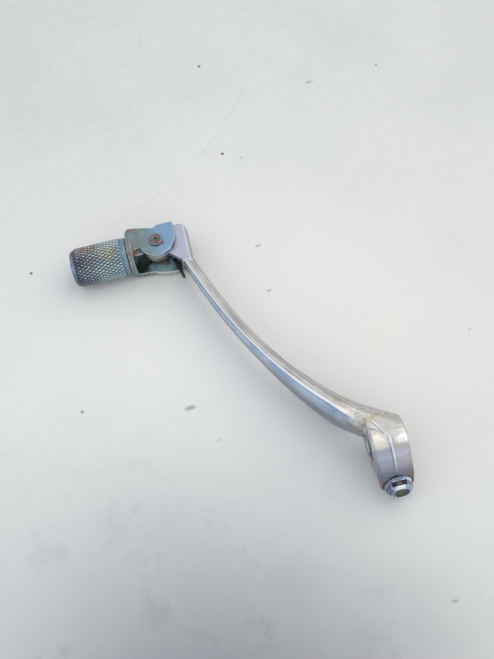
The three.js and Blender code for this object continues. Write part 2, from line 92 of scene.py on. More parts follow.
PEG = {
    "radius": 9.2,
    "length": 26.8,
    "inner_ring": 4.0,
    "inner_edge": 0.5,
    "shoulder": 2.2,
    "shoulder_step": 0.35,
    "shoulder_slope": 0.3,
    "plain_ridge": 0.7,  # the knurl's "ridge" number where there is no knurl
    "rim": 2.2,
    "end_ring": 0.6,  # its share of the knurl's foot radius
    "depth": 0.5,
    "sharpness": 1.6,
    "run_out": 30,  # the knurl fades in and out over 1/30 of its length
    "starts": 34,
    "helix": math.radians(30),
    "steps_round": 400,
    "steps_along": 150,
}

SPRING = {
    "wire": 0.7,
    "coil": 5.5,
    "top": -7.3,
    "bottom": -10.7,
    "lever_angle": 0.2,
    "web_angle": math.pi / 2,
    "turns": 2,
    "lever_leg": 17.5,
    "web_leg": 10,
    "tip": 0.4,  # the length of each domed end
    "tip_share": 0.02,  # the share of the wire's radius that the dome starts from
    "dome_rings": 5,
    "steps": 420,
    "sides": 20,
}
SPRING_SWEEP = SPRING["web_angle"] - SPRING["lever_angle"] + SPRING["turns"] * 2 * math.pi

# Stains and marks on the pieces, and spots of painted shade on the peg: (centre, radius).
FORGING_RUST = [((-1.5, -13.2, -2), 3.2), ((-13.5, -13.4, -6), 5)]
FORGING_NICKS = [((-25.8, 17.0, 6.4), 0.75), ((-24.6, 16.2, 6.4), 0.5)]
BRACKET_RUST = [
    ((-94.2, 131.4, 1.4), 3),
    ((-95.4, 118.4, 0.4), 3.4),
    ((-96.6, 121.3, 1.0), 2.8),
    ((-80.4, 119.2, 2), 1.7),
    ((-80.9, 116.1, -11.8), 2.2),
    ((-97.2, 114.6, -6), 2.6),
    ((-90.5, 113.8, -13.5), 2.2),
    ((-75.5, 128.5, 0.4), 1.2),
]
PEG_SHADE_SPOTS = [((-119, 114.5, -6), 8), ((-121, 119, 1), 4.5)]
PEG_BROWN = [
    ((-115, 126, 0.5), 6.5),
    ((-122, 121.5, 0), 4.5),
    ((-121, 114, -7), 5),
    ((-104, 129, -2), 3),
]

FLOOR_HALF_SIZE = 3000
FLOOR_GAP = 0.02  # between the lever's lowest point and the floor
FLOOR_Z = cad_box[0][2] / MM - FLOOR_GAP
PATCH_Z = -15  # the height of the centres of the floor's patches, just above the floor
FLOOR_MARKS = [  # (centre, radius)
    ((-85, 43), 2.2),
    ((-37, 116), 1.4),
    ((-34, 168), 1.1),
    ((-75.5, 25), 1.0),
    ((2, -65), 1.4),
    ((10, 204), 1.6),
    ((-37.5, 91), 1.3),
    ((45, 48), 1.0),
]
FLOOR_SCRATCHES = [  # arcs: (centre, radius, half width)
    ((-60, 330), 118, 0.22),
    ((-150, 290), 150, 0.2),
    ((120, 260), 190, 0.2),
    ((-240, -90), 150, 0.14),
    ((80, -280), 210, 0.14),
]

CAMERA = {
    "place": (-59.0, -127.1, 397.1),
    "elevation": math.radians(64),
    "azimuth": math.radians(-2),
    "roll": math.radians(-11.9),
    "lens": 54.6,
    "sensor": 36,
}

LIGHT_TARGET = (-50, 60, 0)
LIGHTS = [  # (name, place, size, power in watts, colour)
    ("key", (750, 350, 1000), (1500, 1500), 7.2, (1, 0.94, 0.82)),
    ("outboard_strip", (-900, 0, 850), (160, 1400), 0.9, (1, 0.98, 0.96)),
    ("outboard_sky", (-1100, -150, 320), (400, 1600), 0.9, (0.45, 0.7, 1.0)),
    ("rear_sky", (0, -1300, 450), (1400, 400), 0.5, (0.5, 0.68, 1.0)),
]
SKY_COLOUR = (0.90, 0.945, 1.0)
SKY_STRENGTH = 0.84


# ---------------------------------------------------------------- mesh helpers


def mesh_object(name, points, faces):
    """A smooth-shaded mesh object."""
    mesh = bpy.data.meshes.new(name)
    mesh.from_pydata([tuple(MM * c for c in p) for p in points], [], faces)
    mesh.validate()
    mesh.update()
    mesh.polygons.foreach_set("use_smooth", [True] * len(mesh.polygons))
    obj = bpy.data.objects.new(name, mesh)
    bpy.context.scene.collection.objects.link(obj)
    return obj


def apply_modifiers(obj):
    """Puts the result of an object's modifiers into its mesh."""
    graph = bpy.context.evaluated_depsgraph_get()
    result = bpy.data.meshes.new_from_object(obj.evaluated_get(graph))
    obj.modifiers.clear()
    obj.data = result


def outward(obj):
    """Turns every face of a closed mesh outward."""
    shell = bmesh.new()
    shell.from_mesh(obj.data)
    bmesh.ops.recalc_face_normals(shell, faces=shell.faces)
    shell.to_mesh(obj.data)
    shell.free()


def skin(name, rings):
    """A closed mesh over rings that all have the same number of points."""
    sides = len(rings[0])
    points = np.concatenate(rings)
    last = len(points) - sides
    faces = [tuple(range(sides)), tuple(range(last, len(points)))]
    for start in range(0, last, sides):
        for i in range(sides):
            j = (i + 1) % sides
            faces.append((start + i, start + j, start + sides + j, start + sides + i))
    obj = mesh_object(name, points, faces)
    outward(obj)
    return obj


def softened_copy(node, name, voxel, rounds):
    """A CAD node's shape with its edges rounded, as forging or stamping leaves them."""
    obj = bpy.data.objects.new(name, NODES[node].data.copy())
    bpy.context.scene.collection.objects.link(obj)
    obj.data.materials.clear()
    obj.data.transform(Matrix.Scale(1 / MM, 4))
    remesh = obj.modifiers.new("remesh", "REMESH")
    remesh.mode = "VOXEL"
    remesh.voxel_size = voxel
    remesh.use_smooth_shade = True
    smooth = obj.modifiers.new("smooth", "SMOOTH")
    smooth.factor = 0.5
    smooth.iterations = rounds
    apply_modifiers(obj)
    obj.data.transform(Matrix.Scale(MM, 4))
    return obj


def points_of(obj):
    """An object's vertices."""
    flat = np.empty(len(obj.data.vertices) * 3)
    obj.data.vertices.foreach_get("co", flat)
    return flat.reshape(-1, 3) / MM


def add_values(obj, name, values):
    """Keeps one number for each vertex, which a material can read by its name."""
    layer = obj.data.attributes.new(name, "FLOAT", "POINT")
    layer.data.foreach_set("value", values.astype(np.float32))


def add_hollows(obj, rounds=4):
    """Keeps each vertex's "hollow", above 0 in a crease and below 0 on an edge, and "up"."""
    mesh = obj.data
    count = len(mesh.vertices)
    place = points_of(obj)
    normals = np.empty(count * 3)
    mesh.vertex_normals.foreach_get("vector", normals)
    ends = np.empty(len(mesh.edges) * 2, int)
    mesh.edges.foreach_get("vertices", ends)
    here = np.concatenate([ends[0::2], ends[1::2]])
    there = np.concatenate([ends[1::2], ends[0::2]])
    degree = np.maximum(np.bincount(here, minlength=count), 1)

    def neighbours(values):
        return np.bincount(here, weights=values[there], minlength=count) / degree

    lift = sum(
        (neighbours(place[:, axis]) - place[:, axis]) * normals.reshape(-1, 3)[:, axis]
        for axis in range(3)
    )
    spacing = np.linalg.norm(place[ends[0::2]] - place[ends[1::2]], axis=1).mean()
    hollow = lift / spacing
    for _ in range(rounds):
        hollow = 0.5 * hollow + 0.5 * neighbours(hollow)
    add_values(obj, "hollow", hollow)
    add_values(obj, "up", normals[2::3])


def finish_piece(obj, body, material, node):
    """Gives a piece its material and its body, and hides the CAD node that it stands for."""
    obj.data.materials.clear()
    obj.data.materials.append(material)
    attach(obj, body)
    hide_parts(node)


# ---------------------------------------------------------------- shader helper


class Shader:
    """Writes a node material as formulas of the place on the object."""

    def __init__(self, name):
        self.material = bpy.data.materials.new(name)
        self.material.use_nodes = True
        self.tree = self.material.node_tree
        self.tree.nodes.clear()
        output = self.tree.nodes.new("ShaderNodeOutputMaterial")
        self.surface = self.tree.nodes.new("ShaderNodeBsdfPrincipled")
        self.tree.links.new(self.surface.outputs[0], output.inputs["Surface"])
        coords = self.tree.nodes.new("ShaderNodeTexCoord")
        scale = self.tree.nodes.new("ShaderNodeVectorMath")
        scale.operation = "SCALE"
        scale.inputs["Scale"].default_value = 1 / MM
        self.tree.links.new(coords.outputs["Object"], scale.inputs[0])
        self.place = scale.outputs[0]

    def put(self, socket, value):
        """Links a socket to another one, or gives it a number or a colour."""
        if isinstance(value, bpy.types.NodeSocket):
            self.tree.links.new(value, socket)
        elif hasattr(value, "__len__") and len(value) == 3 and socket.type == "RGBA":
            socket.default_value = (*value, 1)
        else:
            socket.default_value = value

    def set(self, **values):
        """Sets the surface's inputs, named with _ for a space."""
        for name, value in values.items():
            self.put(self.surface.inputs[name.replace("_", " ")], value)

    def value(self, name):
        """The number that add_values kept under a name."""
        node = self.tree.nodes.new("ShaderNodeAttribute")
        node.attribute_name = name
        return node.outputs["Fac"]

    def math(self, operation, a, b=0.0):
        node = self.tree.nodes.new("ShaderNodeMath")
        node.operation = operation
        self.put(node.inputs[0], a)
        self.put(node.inputs[1], b)
        return node.outputs[0]

    def plus(self, a, b):
        return self.math("ADD", a, b)

    def minus(self, a, b):
        return self.math("SUBTRACT", a, b)

    def times(self, *factors):
        return functools.reduce(functools.partial(self.math, "MULTIPLY"), factors)

    def largest(self, *values):
        return functools.reduce(functools.partial(self.math, "MAXIMUM"), values)

    def length(self, a, b):
        """The length of a flat vector."""
        return self.math("SQRT", self.plus(self.times(a, a), self.times(b, b)))

    def blend(self, share, a, b):
        """The number a where share is 0, and b where it is 1."""
        node = self.tree.nodes.new("ShaderNodeMix")
        self.put(node.inputs[0], share)
        self.put(node.inputs[2], a)
        self.put(node.inputs[3], b)
        return node.outputs[0]

    def mix(self, share, a, b):
        """The colour a where share is 0, and b where it is 1."""
        node = self.tree.nodes.new("ShaderNodeMix")
        node.data_type = "RGBA"
        self.put(node.inputs[0], share)
        self.put(node.inputs[6], a)
        self.put(node.inputs[7], b)
        return node.outputs[2]

    def tint(self, colour, where, new, strength):
        """A colour turned into a new one where `where` is 1, as far as strength says."""
        return self.mix(self.times(where, strength), colour, new)

    def range(self, value, low, high, to_low=0.0, to_high=1.0):
        """Takes low to to_low and high to to_high, smoothly, and stays level beyond them."""
        node = self.tree.nodes.new("ShaderNodeMapRange")
        node.interpolation_type = "SMOOTHSTEP"
        for socket, number in zip(node.inputs, (value, low, high, to_low, to_high)):
            self.put(socket, number)
        return node.outputs[0]

    def above(self, value, low, high):
        """0 where value is under low, rising to 1 at high."""
        return self.range(value, low, high)

    def below(self, value, low, high):
        """1 where value is under low, falling to 0 at high."""
        return self.range(value, low, high, 1, 0)

    def line(self, value, middle, width):
        """1 where value is middle, falling to 0 at width from it."""
        away = self.math("ABSOLUTE", self.minus(value, middle))
        return self.below(away, 0.2 * width, width)

    def stretch(self, place, factors):
        node = self.tree.nodes.new("ShaderNodeVectorMath")
        node.operation = "MULTIPLY"
        self.put(node.inputs[0], place)
        node.inputs[1].default_value = factors
        return node.outputs[0]

    def parts(self, place):
        node = self.tree.nodes.new("ShaderNodeSeparateXYZ")
        self.put(node.inputs[0], place)
        return node.outputs

    def joined(self, x, y, z):
        node = self.tree.nodes.new("ShaderNodeCombineXYZ")
        for socket, value in zip(node.inputs, (x, y, z)):
            self.put(socket, value)
        return node.outputs[0]

    def noise(self, scale, place=None, detail=4.0, rough=0.6, distort=0.0):
        """Noise from 0 to 1 with `scale` waves to the millimetre."""
        node = self.tree.nodes.new("ShaderNodeTexNoise")
        self.put(node.inputs["Vector"], self.place if place is None else place)
        node.inputs["Scale"].default_value = scale
        node.inputs["Detail"].default_value = detail
        node.inputs["Roughness"].default_value = rough
        node.inputs["Distortion"].default_value = distort
        return node.outputs[0]

    def cells(self, scale):
        """How far the nearest of `scale` scattered points to the millimetre is, in cells."""
        node = self.tree.nodes.new("ShaderNodeTexVoronoi")
        self.put(node.inputs["Vector"], self.place)
        node.inputs["Scale"].default_value = scale
        return node.outputs["Distance"]

    def patch(self, centre, radius, soft=0.5, ragged=0.5, stretch=(1, 1, 1)):
        """1 inside a ragged ball round centre, fading to 0 at its radius."""
        away = self.tree.nodes.new("ShaderNodeVectorMath")
        away.operation = "SUBTRACT"
        self.put(away.inputs[0], self.place)
        away.inputs[1].default_value = centre
        length = self.tree.nodes.new("ShaderNodeVectorMath")
        length.operation = "LENGTH"
        self.put(length.inputs[0], self.stretch(away.outputs[0], stretch))
        waves = self.minus(self.noise(2.5 / radius), 0.5)
        distance = self.plus(length.outputs["Value"], self.times(waves, ragged * radius * 3))
        return self.below(distance, radius * (1 - soft), radius)

    def patches(self, spots, **shape):
        """Several patches at once, from (centre, radius) pairs."""
        return self.largest(*(self.patch(centre, radius, **shape) for centre, radius in spots))

    def bump(self, height, strength, reach, normal=None):
        """A normal tilted by the slope of height, whose rise from 0 to 1 is reach."""
        node = self.tree.nodes.new("ShaderNodeBump")
        node.inputs["Strength"].default_value = strength
        node.inputs["Distance"].default_value = reach * MM
        self.put(node.inputs["Height"], height)
        if normal is not None:
            self.put(node.inputs["Normal"], normal)
        return node.outputs[0]


# ---------------------------------------------------------------- the forging's material


def forged_aluminium():
    """Brushed along the arm and polished on its outboard edge, with painted reflections and
    highlights, and dirt and painted shade in the hollows.
    """
    s = Shader("forged_aluminium")
    _, y, z = s.parts(s.place)
    along, side = s.value("along"), s.value("side")
    on_arm = s.times(s.above(along, 10, 18), s.below(y, 107.5, 110))
    polished = s.times(on_arm, s.below(side, -0.7, -0.58), s.below(s.value("drop"), 0.2, 0.7))
    lines = s.joined(s.times(along, 0.04), s.times(side, 3.5), s.times(z, 0.3))
    strokes = s.noise(1.0, lines, detail=7, rough=0.7)
    swirls = s.noise(0.7, s.stretch(s.place, (0.5, 1.6, 1.6)), detail=6, rough=0.7)
    grain = s.blend(on_arm, swirls, strokes)
    broad = s.noise(0.09, detail=3)

    colour = brushed_metal(s, on_arm, grain, broad)
    colour = arm_colours(s, colour, on_arm, polished)
    colour = hub_colours(s, colour, swirls)
    colour = head_colours(s, colour)
    colour, dirt, bare = forging_wear(s, colour)

    rough = s.blend(polished, s.range(grain, 0.3, 0.75, 0.28, 0.46), 0.22)
    rough = s.plus(rough, s.times(dirt, 0.25))
    dents = s.bump(broad, 0.35, reach=0.6)
    s.set(Base_Color=colour, Metallic=bare, Roughness=rough)
    s.set(Normal=s.bump(grain, 0.5, reach=0.05, normal=dents))
    return s.material


def brushed_metal(s, on_arm, grain, broad):
    """Warm grey metal with dark streaks, densest on the arm's inboard bevel, which is also painted
    darker as shade.
    """
    bevel = s.times(on_arm, s.above(s.value("side"), 0.14, 0.26))
    colour = s.mix(s.above(broad, 0.35, 0.65), (0.68, 0.645, 0.60), (0.58, 0.57, 0.56))
    streaks = s.times(s.above(grain, 0.46, 0.6), s.blend(bevel, 0.6, 0.9))
    colour = s.mix(streaks, colour, (0.27, 0.24, 0.225))
    # painted shade: the inboard bevel is tinted darker
    return s.tint(colour, bevel, (0.47, 0.44, 0.42), 0.35)


def arm_colours(s, colour, on_arm, polished):
    """The arm's polished edge painted blue as a sky reflection, a painted highlight and painted
    shade lines along its top, and painted shade on its sides and inboard rim.
    """
    along, side, up = (s.value(name) for name in ("along", "side", "up"))
    # painted sky reflection: the polished outboard edge is blue, lighter in places
    bright = s.above(s.noise(0.4, s.joined(s.times(along, 0.12), 0, 0), detail=2), 0.4, 0.6)
    painted_sky_reflection = s.mix(bright, (0.33, 0.48, 0.74), (0.56, 0.69, 0.86))
    colour = s.tint(colour, polished, painted_sky_reflection, 0.9)

    # painted highlight: a white line along the outboard edge of the top
    on_top = s.times(on_arm, s.above(up, 0.3, 0.6))
    edge_highlight = s.times(s.line(side, -0.54, 0.17), on_top)
    colour = s.tint(colour, edge_highlight, (0.97, 0.97, 0.95), 0.9)
    # painted shade: dark lines along the outboard crease and along the inboard bevel's crease
    edge_crease = s.times(s.line(side, -0.76, 0.14), on_top)
    whole = s.above(s.noise(0.05, s.joined(along, 0, 0), detail=2), 0.2, 0.5)
    bevel_crease = s.times(s.line(side, 0.2, 0.13), on_top, whole)
    crease_shade_lines = s.largest(s.times(edge_crease, 0.7), s.times(bevel_crease, 0.75))
    colour = s.tint(colour, crease_shade_lines, (0.15, 0.15, 0.18), 0.75)

    # painted shade on the sides that face down, blue-grey outboard and brownish inboard
    flanks = s.times(s.below(up, 0.05, 0.5), s.minus(1, polished))
    flank_shade = s.mix(s.above(side, -0.5, 0.3), (0.23, 0.28, 0.36), (0.30, 0.275, 0.25))
    colour = s.tint(colour, flanks, flank_shade, 0.7)
    # painted shade: a dark line along the inboard rim
    inboard_rim_shade = s.times(s.above(side, 0.84, 0.96), on_arm)
    return s.tint(colour, inboard_rim_shade, (0.17, 0.16, 0.17), 0.75)


def hub_colours(s, colour, swirls):
    """The hub's top in painted reflections: cream and blue-grey outboard of the seam, a pale
    painted highlight band and grey inboard with a white glint, with painted shade lines, a dark
    rear and a shaded arm root.
    """
    x, y, _ = s.parts(s.place)
    on_hub = s.times(s.below(y, 7, 10), s.above(s.value("up"), -0.1, 0.1))
    past_bend = s.largest(s.minus(y, SEAM["bend_y"]), 0)
    seam = s.plus(s.minus(x, SEAM["x"]), s.times(past_bend, SEAM["slope"]))
    wavy_y = s.plus(y, s.times(s.minus(swirls, 0.5), 3))

    # painted reflections: the flat outboard of the seam is cream in front and blue-grey behind;
    # the inboard flat is grey, lilac behind, with a white painted glint
    outboard = s.mix(s.above(wavy_y, -5.2, -4), (0.41, 0.44, 0.52), (0.76, 0.715, 0.63))
    inboard = s.mix(s.above(wavy_y, -7, -3), (0.54, 0.52, 0.57), (0.52, 0.51, 0.49))
    glint = s.patch((-2.2, -2.5, 10), 3.2, ragged=0.25, stretch=(0.7, 1.3, 1))
    inboard = s.mix(glint, inboard, (0.90, 0.90, 0.88))
    # a painted shade line on the inboard flat beside the seam, and a pale painted highlight on the
    # seam's bevel
    inboard = s.tint(inboard, s.line(seam, 0.35, 0.5), (0.30, 0.30, 0.35), 0.5)
    inboard = s.mix(s.below(seam, 0.1, 0.3), inboard, (0.84, 0.82, 0.79))
    top = s.mix(s.above(seam, -0.95, -0.75), outboard, inboard)
    top = s.mix(s.below(x, -15.1, -14.6), top, (0.46, 0.41, 0.36))
    # painted shade: the rear of the top goes dark blue above the bolt
    top = s.tint(top, s.below(y, -14, -9.5), (0.08, 0.10, 0.17), 0.85)
    colour = s.tint(colour, on_hub, top, 0.8)

    # a painted shade line at the seam's foot, a painted blue reflection along the outboard edge,
    # and painted shade at the arm's root
    seam_shade_line = s.times(s.line(seam, -1.05, 0.38), on_hub)
    colour = s.tint(colour, seam_shade_line, (0.16, 0.22, 0.40), 0.8)
    outboard_edge_reflection = s.times(s.line(x, -14.4, 0.45), on_hub, s.below(y, 2, 5))
    colour = s.tint(colour, outboard_edge_reflection, (0.20, 0.29, 0.52), 0.7)
    arm_root_shade = s.patch((-14.6, 8, 6), 5, soft=0.8)
    return s.tint(colour, arm_root_shade, (0.19, 0.20, 0.22), 0.8)


def head_colours(s, colour):
    """The head's mauve flat top, and the sides of its tongue in the bracket, with dirt stains and
    painted shade.
    """
    x, y, z = s.parts(s.place)
    head = s.times(s.above(y, 109, 110.5), s.above(z, -2, -1))
    colour = s.tint(colour, head, (0.47, 0.49, 0.61), 0.85)
    tongue = s.times(s.above(y, 109, 111), s.below(x, PIVOT.x + 5, PIVOT.x + 8))
    tongue = s.times(tongue, s.below(s.value("up"), 0.3, 0.7))
    # dirt and painted shade on the tongue's sides between the bracket's ears
    stain_and_shade = s.mix(s.above(s.noise(0.5), 0.4, 0.6), (0.36, 0.31, 0.24), (0.14, 0.11, 0.09))
    return s.tint(colour, tongue, stain_and_shade, 0.85)


def forging_wear(s, colour):
    """Adds dirt with painted shade in the hollows, a stain, rust and nicks; also gives how dirty
    and how bare the metal is.
    """
    # painted shade with dirt: the hollows are tinted dark blue-grey
    hollow_shade_and_grime = s.times(s.above(s.value("hollow"), 0.012, 0.08), 0.85)
    colour = s.mix(hollow_shade_and_grime, colour, (0.13, 0.14, 0.19))
    stain = s.patch((-11.7, 9.3, 9.5), 4.5, soft=0.8, stretch=(0.5, 1.3, 1))
    colour = s.tint(colour, stain, (0.42, 0.33, 0.2), 0.45)
    rust = s.times(s.patches(FORGING_RUST, soft=0.6), 0.75)
    colour = s.mix(rust, colour, (0.30, 0.17, 0.08))
    pits = s.times(s.below(s.cells(0.55), 0.05, 0.09), s.above(s.noise(0.2), 0.5, 0.62))
    nicks = s.largest(s.patches(FORGING_NICKS, soft=0.3, ragged=0.7), s.times(pits, 0.7))
    colour = s.mix(nicks, colour, (0.06, 0.045, 0.035))
    dirt = s.largest(rust, hollow_shade_and_grime)
    bare = s.minus(1, s.largest(nicks, s.times(rust, 0.8)))
    return colour, dirt, bare


# ---------------------------------------------------------------- the bolt's material


def on_bolt(s):
    """Where a point is on the bolt: beside its axis, above it, and in from its end face."""
    x, y, z = s.parts(s.place)
    lean = math.radians(BOLT["lean"])
    along = s.plus(s.times(y, math.cos(lean)), s.times(z, math.sin(lean)))
    height = s.minus(s.times(z, math.cos(lean)), s.times(y, math.sin(lean)))
    return s.minus(x, BOLT["x"]), s.minus(height, BOLT["z"]), s.minus(along, BOLT["end"])


def plated_bolt():
    """Bright plating with a blue cast and painted reflections, dirt packed into the dished head,
    and painted shade round the dish's wall and in the hollows.
    """
    s = Shader("plated_bolt")
    beside, above, inside = on_bolt(s)
    on_flats = s.times(s.above(inside, 0.9, 1.3), s.below(inside, 3.3, 3.7))
    top_flat = s.times(s.above(above, 4.2, 4.6), on_flats)
    colour = plating(s, beside, above, inside, on_flats, top_flat)

    radius = s.length(beside, above)
    in_dish = s.times(s.below(radius, 3.5, 3.8), s.below(inside, 1.6, 2))
    dirt = s.times(in_dish, s.above(s.noise(0.9, detail=5), 0.1, 0.3))
    flat_middle = s.times(s.below(s.math("ABSOLUTE", beside), 0.5, 1.4), top_flat)
    dirt = s.largest(dirt, s.times(flat_middle, 0.8))
    dish_dirt_and_shade = s.mix(s.above(s.noise(1.5), 0.4, 0.6), (0.21, 0.18, 0.14), (0.07, 0.06, 0.05))
    # painted shade round the dish's wall
    dish_dirt_and_shade = s.tint(dish_dirt_and_shade, s.times(s.above(radius, 2.2, 3.4), in_dish), (0.02, 0.02, 0.03), 0.6)
    colour = s.mix(dirt, colour, dish_dirt_and_shade)
    # painted shade in the hollows
    colour = s.tint(colour, s.above(s.value("hollow"), 0.02, 0.12), (0.05, 0.05, 0.07), 0.8)

    metal = s.minus(1.0, s.times(dirt, 0.9))
    rough = s.range(s.noise(1.2, detail=6), 0.3, 0.7, 0.1, 0.24)
    rough = s.plus(rough, s.times(dirt, 0.5))
    s.set(Base_Color=colour, Metallic=metal, Roughness=rough)
    s.set(Normal=s.bump(s.noise(1.6, detail=5), 0.2, reach=0.05))
    return s.material


def plating(s, beside, above, inside, on_flats, top_flat):
    """The bolt's plating, pale, in painted reflections: dark on its upper flat, navy on one side,
    white and blue on the rim; with painted shade on the flange and seat.
    """
    colour = s.mix(s.above(s.noise(0.25), 0.4, 0.62), (0.80, 0.82, 0.88), (0.52, 0.60, 0.78))
    # painted reflection: the upper flat is nearly black
    colour = s.mix(top_flat, colour, (0.02, 0.022, 0.045))
    # painted reflections on the rim: navy on one side, white in the middle, blue on the other
    rim_colour = s.mix(s.above(beside, -4.2, -0.6), (0.07, 0.10, 0.22), (0.92, 0.92, 0.94))
    rim_colour = s.mix(s.above(beside, 1.6, 2.4), rim_colour, (0.26, 0.40, 0.62))
    colour = s.tint(colour, s.below(inside, 0.8, 1.2), rim_colour, 0.8)
    side_flats = s.times(s.below(above, 3.9, 4.3), on_flats)
    # painted reflections: the side flats are dark navy and grey-blue
    side_reflection = s.mix(s.above(s.noise(0.4), 0.45, 0.55), (0.03, 0.055, 0.17), (0.36, 0.38, 0.48))
    colour = s.tint(colour, side_flats, side_reflection, 0.85)
    # painted shade on the flange and, below, on the seat
    flange = s.times(s.above(inside, 3.6, 3.8), s.below(beside, 1, 4))
    colour = s.tint(colour, flange, (0.10, 0.15, 0.26), 0.8)
    return s.mix(s.above(inside, 4.5, 4.9), colour, (0.04, 0.05, 0.09))


# ---------------------------------------------------------------- the bracket's material


def zinc_bracket():
    """Passivated zinc, teal and blue, rusting at its corners and bends, with painted light on the
    lower ear and dirt and painted shade in the hollows.
    """
    s = Shader("zinc_bracket")
    fine = s.noise(1.3, detail=6, rough=0.7)
    # painted light: the lower ear's inner face is made paler teal and not metallic, so that it
    # reads as lit
    lit_lower_ear = s.patch((-83, 114.5, -11.8), 8, soft=0.6)
    lit_lower_ear = s.times(lit_lower_ear, s.above(s.parts(s.place)[2], -13, -12.2))
    colour = s.mix(lit_lower_ear, zinc_film(s), (0.26, 0.42, 0.45))
    colour = bracket_edges(s, colour, fine)

    rust = bracket_rust(s)
    rust_colour = s.mix(s.above(s.noise(1.4), 0.4, 0.6), (0.36, 0.15, 0.06), (0.15, 0.035, 0.03))
    colour = s.tint(colour, rust, rust_colour, 0.9)
    # dirt and painted shade: the hollows are tinted dark brown
    colour = s.tint(colour, s.above(s.value("hollow"), 0.02, 0.1), (0.08, 0.06, 0.05), 0.6)

    metal = s.minus(1.0, s.largest(s.times(rust, 0.85), lit_lower_ear))
    rough = s.plus(s.range(fine, 0.3, 0.75, 0.24, 0.42), s.times(rust, 0.4))
    height = s.plus(s.times(fine, 0.5), s.times(rust, 0.6))
    s.set(Base_Color=colour, Metallic=metal, Roughness=rough)
    s.set(Normal=s.bump(height, 0.4, reach=0.08))
    return s.material


def zinc_film(s):
    """Grey outboard and blue inboard, with teal and olive clouds, and painted shade low down."""
    x, _, z = s.parts(s.place)
    cloudy_x = s.plus(x, s.times(s.noise(0.16, detail=4), 8))
    inboard = s.above(cloudy_x, PIVOT.x - 2, PIVOT.x + 6)
    colour = s.mix(inboard, (0.22, 0.27, 0.27), (0.24, 0.39, 0.58))
    teal = s.above(s.noise(0.28, distort=0.6), 0.5, 0.66)
    colour = s.tint(colour, teal, (0.24, 0.42, 0.46), 0.5)
    olive = s.above(s.noise(0.45, s.stretch(s.place, (1, 1, 1.5))), 0.56, 0.7)
    colour = s.tint(colour, olive, (0.42, 0.42, 0.27), 0.45)
    # painted shade: darker teal low down, between and under the ears
    return s.tint(colour, s.below(z, -11.5, -3), (0.17, 0.29, 0.31), 0.6)


def bracket_edges(s, colour, fine):
    """Pale cut edges with a painted highlight, worn edges, and painted shade on the edge beside
    the lever's head.
    """
    x, y, _ = s.parts(s.place)
    hollow, up = s.value("hollow"), s.value("up")
    # bare cut steel with a painted highlight: the side edges at the rear are pale cream
    sheared_edge_highlight = s.times(s.below(up, 0.25, 0.6), s.below(y, 112, 114), s.above(x, -93, -90))
    colour = s.tint(colour, sheared_edge_highlight, (0.80, 0.78, 0.68), 0.7)
    colour = s.tint(colour, s.above(fine, 0.55, 0.75), (0.2, 0.2, 0.19), 0.4)
    worn = s.times(s.below(hollow, -0.1, -0.03), s.above(fine, 0.35, 0.55))
    colour = s.tint(colour, worn, (0.86, 0.83, 0.75), 0.75)
    # painted shade: the side edge next to the lever's head is nearly black
    shade_beside_head = s.times(s.below(up, 0.6, 0.95), s.above(x, -77.5, -76))
    return s.tint(colour, shade_beside_head, (0.06, 0.065, 0.09), 0.85)


def bracket_rust(s):
    """1 where the bracket has rusted: in its known spots and here and there on its edges."""
    on_edge = s.below(s.value("hollow"), -0.05, -0.02)
    edges = s.times(s.above(s.noise(0.5), 0.58, 0.66), on_edge, 0.8)
    rust = s.largest(s.patches(BRACKET_RUST, soft=0.7), edges)
    return s.times(rust, s.above(s.noise(1.1, detail=6), 0.34, 0.5))


# ---------------------------------------------------------------- the peg's material


def tarnished_peg():
    """Plated steel whose knurl has tarnished purple, brown and teal, with rust low in it, painted
    shade in its valleys and painted highlights on its diamonds.
    """
    s = Shader("tarnished_peg")
    x, y, _ = s.parts(s.place)
    cloud = s.times(s.minus(s.noise(0.22, detail=4), 0.5), 14)
    outer = s.below(s.plus(x, cloud), -119, -106)
    rear = s.below(s.plus(y, cloud), 112, 120)
    brown = s.times(s.patches(PEG_BROWN, soft=0.7), s.above(s.noise(0.7, detail=6), 0.38, 0.56))
    neck = s.times(s.line(x, -98.0, 0.9), s.above(s.noise(0.6), 0.4, 0.55))

    colour = peg_tarnish(s, outer, rear, brown)
    colour = peg_knurl(s, colour, outer)
    colour = s.tint(colour, neck, (0.22, 0.06, 0.04), 0.85)
    colour = peg_ends(s, colour)

    metal = s.minus(1.0, s.times(s.largest(brown, neck), 0.7))
    rough = s.range(s.noise(1.0, detail=5), 0.3, 0.7, 0.2, 0.4)
    rough = s.plus(rough, s.times(brown, 0.3))
    s.set(Base_Color=colour, Metallic=metal, Roughness=rough)
    s.set(Normal=s.bump(s.noise(1.8, detail=5), 0.3, reach=0.06))
    return s.material


def peg_tarnish(s, outer, rear, brown):
    """Grey-green near the bracket and purple-grey at the tip, with gold, navy spots of painted
    shade, and brown.
    """
    colour = s.mix(outer, (0.34, 0.42, 0.42), (0.24, 0.225, 0.255))
    colour = s.tint(colour, rear, (0.28, 0.42, 0.44), 0.6)
    gold = s.patch((-106.5, 120.0, 2.5), 5.5, soft=0.9)
    gold = s.times(gold, s.above(s.noise(0.8), 0.42, 0.58))
    colour = s.tint(colour, gold, (0.80, 0.55, 0.27), 0.8)
    # painted shade: dark navy spots low on the peg's rear side and by its outer end
    colour = s.tint(colour, s.patches(PEG_SHADE_SPOTS, soft=0.7), (0.07, 0.085, 0.17), 0.8)
    rust_colour = s.mix(s.above(s.noise(0.9), 0.42, 0.6), (0.40, 0.21, 0.10), (0.13, 0.075, 0.08))
    return s.tint(colour, brown, rust_colour, 0.8)


